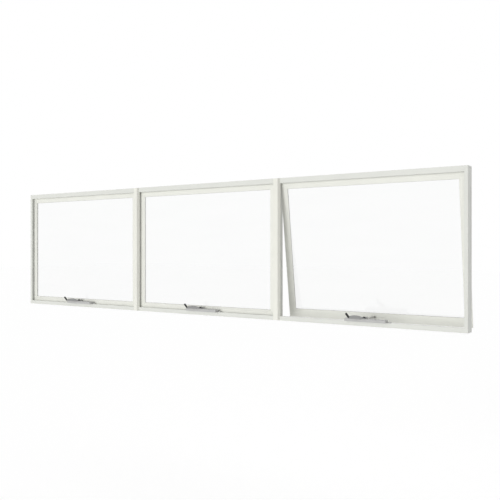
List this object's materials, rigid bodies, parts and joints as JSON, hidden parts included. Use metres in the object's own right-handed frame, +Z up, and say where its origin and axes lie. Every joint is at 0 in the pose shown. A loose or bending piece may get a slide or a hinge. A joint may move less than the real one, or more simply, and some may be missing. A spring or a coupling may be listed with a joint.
{
  "type": "top hung awning window",
  "caption": "Wide aluminium window of equal top hung awning sashes side by side, each with a folding chain winder on its sill and one sash wound open at the bottom.",
  "frame": {"origin": "middle of the flat underside of the sill, halfway along the window's width and its frame's depth", "axes": "+X to the right as seen from the room, +Y towards the outside, +Z up"},
  "size_m": [2.41, 0.1669, 0.6],
  "materials": {
    "frame_paint": "satin powder coat",
    "sash_paint": "satin powder coat",
    "clear_glass": "clear float glass",
    "gasket_rubber": "matt extruded rubber",
    "seal_rubber": "matt extruded rubber",
    "winder_paint": "painted die casting",
    "black_plastic": "fine grained plastic",
    "plated_steel": "bright zinc plate"
  },
  "bodies": {
    "root": {"left_glass": "clear_glass", "left_glazing_gasket": "gasket_rubber", "left_head": "frame_paint", "left_jamb": "frame_paint", "left_mullion": "frame_paint", "left_mullion_cover": "frame_paint", "left_sash_bottom_rail": "sash_paint", "left_sash_bracket": "plated_steel", "left_sash_left_stile": "sash_paint", "left_sash_right_stile": "sash_paint", "left_sash_top_rail": "sash_paint", "left_sill": "frame_paint", "left_winder_body": "winder_paint", "left_winder_crank": "winder_paint", "left_winder_knob_and_cap": "black_plastic", "middle_glass": "clear_glass", "middle_glazing_gasket": "gasket_rubber", "middle_head": "frame_paint", "middle_sash_bottom_rail": "sash_paint", "middle_sash_bracket": "plated_steel", "middle_sash_left_stile": "sash_paint", "middle_sash_right_stile": "sash_paint", "middle_sash_top_rail": "sash_paint", "middle_sill": "frame_paint", "middle_winder_body": "winder_paint", "middle_winder_crank": "winder_paint", "middle_winder_knob_and_cap": "black_plastic", "right_glass": "clear_glass", "right_glazing_gasket": "gasket_rubber", "right_head": "frame_paint", "right_jamb": "frame_paint", "right_mullion": "frame_paint", "right_mullion_cover": "frame_paint", "right_push_chain": "plated_steel", "right_sash_bottom_rail": "sash_paint", "right_sash_bracket": "plated_steel", "right_sash_left_stile": "sash_paint", "right_sash_right_stile": "sash_paint", "right_sash_top_rail": "sash_paint", "right_sill": "frame_paint", "right_winder_body": "winder_paint", "right_winder_crank": "winder_paint", "right_winder_knob_and_cap": "black_plastic", "weather_seals": "seal_rubber"}
  },
  "joints": []
}
